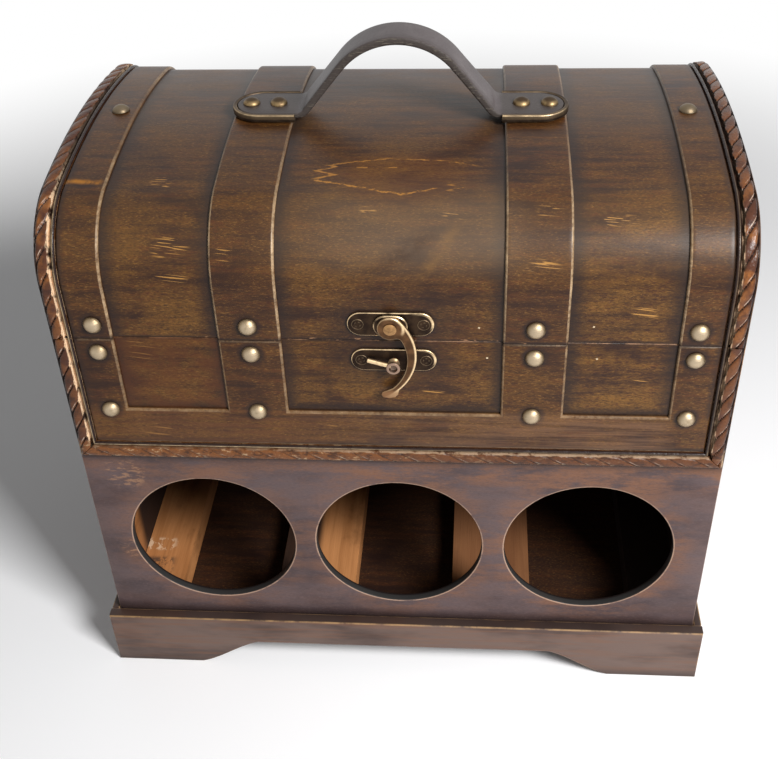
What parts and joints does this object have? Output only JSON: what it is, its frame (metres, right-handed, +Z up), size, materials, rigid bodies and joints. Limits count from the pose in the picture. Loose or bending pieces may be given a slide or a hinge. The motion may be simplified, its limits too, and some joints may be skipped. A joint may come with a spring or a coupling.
{
  "type": "wine rack chest",
  "caption": "Small wooden chest with a domed hinged lid, hook latch and leather carrying strap, over a rack whose front has round holes for bottles lying on their sides.",
  "frame": {"origin": "on the surface that the rack stands on, at the middle of its base", "axes": "+Z up, +X to the right seen from the front, and the front with its bottle holes faces -Y"},
  "size_m": [0.34, 0.21, 0.3467],
  "materials": {
    "stained_ply": "dark walnut stain, satin lacquer, scratched",
    "inner_ply": "bare inside, matt",
    "bare_wood": "unfinished",
    "plinth_wood": "dark walnut stain, satin lacquer",
    "strap_wood": "dark stain, worn pale along the edges",
    "rope_wood": "carved, reddish brown stain, pale bead",
    "nail_brass": "brushed, pale",
    "latch_brass": "antiqued, bright on its edges",
    "hook_brass": "antiqued, bright on its edges",
    "hinge_brass": "antiqued",
    "tray_brass": "antiqued, bright rim",
    "rivet_brass": "antiqued",
    "handle_leather": "smooth, dark, raw edge"
  },
  "bodies": {
    "case": {"front_panel": "stained_ply", "back_panel": "stained_ply", "side_panel_left": "stained_ply", "side_panel_right": "stained_ply", "rack_floor": "inner_ply", "tray_floor": "inner_ply", "rail_1": "bare_wood", "rail_2": "bare_wood", "rail_3": "bare_wood", "rail_4": "bare_wood", "plinth_front": "plinth_wood", "plinth_back": "plinth_wood", "plinth_left": "plinth_wood", "plinth_right": "plinth_wood", "strap_lower": "strap_wood", "case_strap_end_left": "strap_wood", "case_strap_middle_left": "strap_wood", "case_strap_middle_right": "strap_wood", "case_strap_end_right": "strap_wood", "rope_moulding_lower": "rope_wood", "rope_moulding_case_left": "rope_wood", "rope_moulding_case_right": "rope_wood", "case_nail_1": "nail_brass", "case_nail_2": "nail_brass", "case_nail_3": "nail_brass", "case_nail_4": "nail_brass", "case_nail_5": "nail_brass", "case_nail_6": "nail_brass", "case_nail_7": "nail_brass", "case_nail_8": "nail_brass", "catch_plate": "latch_brass", "catch_post": "latch_brass", "hinge_case_leaf_left": "hinge_brass", "hinge_case_leaf_right": "hinge_brass"},
    "lid": {"lid_shell": "stained_ply", "lid_end_left": "stained_ply", "lid_end_right": "stained_ply", "lid_strap_end_left": "strap_wood", "lid_strap_middle_left": "strap_wood", "lid_strap_middle_right": "strap_wood", "lid_strap_end_right": "strap_wood", "rope_moulding_lid_left": "rope_wood", "rope_moulding_lid_right": "rope_wood", "lid_nail_1": "nail_brass", "lid_nail_2": "nail_brass", "lid_nail_3": "nail_brass", "lid_nail_4": "nail_brass", "lid_nail_5": "nail_brass", "lid_nail_6": "nail_brass", "handle_strap": "handle_leather", "handle_tray_left": "tray_brass", "handle_tray_right": "tray_brass", "handle_rivet_1": "rivet_brass", "handle_rivet_2": "rivet_brass", "handle_rivet_3": "rivet_brass", "handle_rivet_4": "rivet_brass", "hook_plate": "latch_brass", "hinge_lid_leaf_left": "hinge_brass", "hinge_lid_leaf_right": "hinge_brass"},
    "hook": {"hook": "hook_brass"}
  },
  "joints": [
    {"name": "lid_hinge", "type": "hinge", "parent": "case", "child": "lid", "pos_m": [0, 0.1008, 0.2335], "axis": [-1, 0, 0], "range_deg": [0, 105]},
    {"name": "hook_pivot", "type": "hinge", "parent": "lid", "child": "hook", "pos_m": [0, -0.1015, 0.2433], "axis": [0, -1, 0], "range_deg": [0, 120]}
  ]
}
